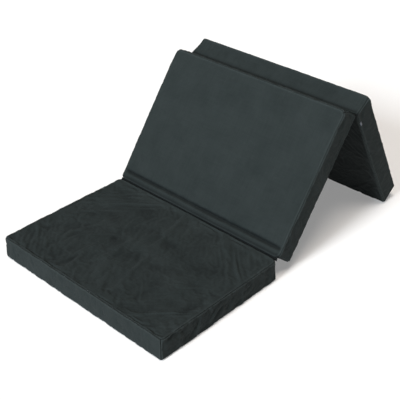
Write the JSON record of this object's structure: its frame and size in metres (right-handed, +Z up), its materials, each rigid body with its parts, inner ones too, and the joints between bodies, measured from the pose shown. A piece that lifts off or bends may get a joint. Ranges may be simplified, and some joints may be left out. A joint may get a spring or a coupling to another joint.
{
  "type": "futon mattress",
  "caption": "Folding foam guest mattress in zipped cloth covers: three block sections on two cloth hinges, set up as a floor lounger.",
  "frame": {"origin": "on the floor, under the middle of the object's bounding box in its lounger pose", "axes": "+X across the mattress, zips on the -X side; +Y from the seat's free front edge towards the support, horizontal; +Z up from the floor"},
  "size_m": [0.9008, 1.4748, 0.6071],
  "materials": {
    "cover_cloth": "matte",
    "foam": "matte",
    "zip_tape": "matte",
    "zip_coil": "satin",
    "zip_metal": "satin",
    "thread": "matte",
    "label": "satin"
  },
  "bodies": {
    "seat": {"seat_bottom_panel": "cover_cloth", "seat_foam_core": "foam", "seat_front_border": "cover_cloth", "seat_lower_zip_border": "cover_cloth", "seat_lower_zip_coil": "zip_coil", "seat_lower_zip_tape": "zip_tape", "seat_rear_border": "cover_cloth", "seat_right_border": "cover_cloth", "seat_seam_threads": "thread", "seat_top_panel": "cover_cloth", "seat_upper_zip_border": "cover_cloth", "seat_upper_zip_coil": "zip_coil", "seat_upper_zip_tape": "zip_tape", "seat_zip_bottom_stop": "zip_metal", "seat_zip_top_stop": "zip_metal", "seat_backrest_hinge_strip": "cover_cloth"},
    "backrest": {"backrest_bottom_panel": "cover_cloth", "backrest_foam_core": "foam", "backrest_lower_border": "cover_cloth", "backrest_lower_zip_border": "cover_cloth", "backrest_lower_zip_coil": "zip_coil", "backrest_lower_zip_tape": "zip_tape", "backrest_right_border": "cover_cloth", "backrest_seam_threads": "thread", "backrest_top_panel": "cover_cloth", "backrest_upper_border": "cover_cloth", "backrest_upper_zip_border": "cover_cloth", "backrest_upper_zip_coil": "zip_coil", "backrest_upper_zip_tape": "zip_tape", "backrest_zip_bottom_stop": "zip_metal", "backrest_zip_top_stop": "zip_metal", "backrest_support_hinge_strip": "cover_cloth"},
    "support": {"support_bottom_panel": "cover_cloth", "support_foam_core": "foam", "support_lower_border": "cover_cloth", "support_lower_zip_border": "cover_cloth", "support_lower_zip_coil": "zip_coil", "support_lower_zip_tape": "zip_tape", "support_right_border": "cover_cloth", "support_seam_threads": "thread", "support_top_panel": "cover_cloth", "support_upper_border": "cover_cloth", "support_upper_zip_border": "cover_cloth", "support_upper_zip_coil": "zip_coil", "support_upper_zip_tape": "zip_tape", "support_zip_bottom_stop": "zip_metal", "support_zip_top_stop": "zip_metal", "care_label": "label"},
    "seat_zip_slider": {"seat_zip_slider": "zip_metal"},
    "seat_zip_pull": {"seat_zip_pull": "zip_metal"},
    "backrest_zip_slider": {"backrest_zip_slider": "zip_metal"},
    "backrest_zip_pull": {"backrest_zip_pull": "zip_metal"},
    "support_zip_slider": {"support_zip_slider": "zip_metal"},
    "support_zip_pull": {"support_zip_pull": "zip_metal"}
  },
  "joints": [
    {"name": "fold_backrest", "type": "hinge", "parent": "seat", "child": "backrest", "pos_m": [0, -0.10472, 0.0956], "axis": [1, 0, 0], "range_deg": [-54, 126], "deforming": ["seat_backrest_hinge_strip"]},
    {"name": "fold_support", "type": "hinge", "parent": "backrest", "child": "support", "pos_m": [0, 0.34616, 0.55251], "axis": [1, 0, 0], "range_deg": [-65.1, 114.9], "deforming": ["backrest_support_hinge_strip"]},
    {"name": "seat_zip_slide", "type": "slide", "parent": "seat", "child": "seat_zip_slider", "axis": [0, 1, 0], "range_m": [0, 0.532]},
    {"name": "seat_zip_pull_swing", "type": "hinge", "parent": "seat_zip_slider", "child": "seat_zip_pull", "pos_m": [-0.4486, -0.68808, 0.0475], "axis": [0, 0, -1], "range_deg": [0, 170]},
    {"name": "backrest_zip_slide", "type": "slide", "parent": "backrest", "child": "backrest_zip_slider", "axis": [0, 0.5878, 0.809], "range_m": [0, 0.532]},
    {"name": "backrest_zip_pull_swing", "type": "hinge", "parent": "backrest_zip_slider", "child": "backrest_zip_pull", "pos_m": [-0.4486, -0.03565, 0.10883], "axis": [0, 0.809, -0.5878], "range_deg": [0, 170]},
    {"name": "support_zip_slide", "type": "slide", "parent": "support", "child": "support_zip_slider", "axis": [0, -0.4863, 0.8738], "range_m": [0, 0.532]},
    {"name": "support_zip_pull_swing", "type": "hinge", "parent": "support_zip_slider", "child": "support_zip_pull", "pos_m": [-0.4486, 0.6719, 0.06618], "axis": [0, 0.8738, 0.4863], "range_deg": [0, 170]}
  ]
}
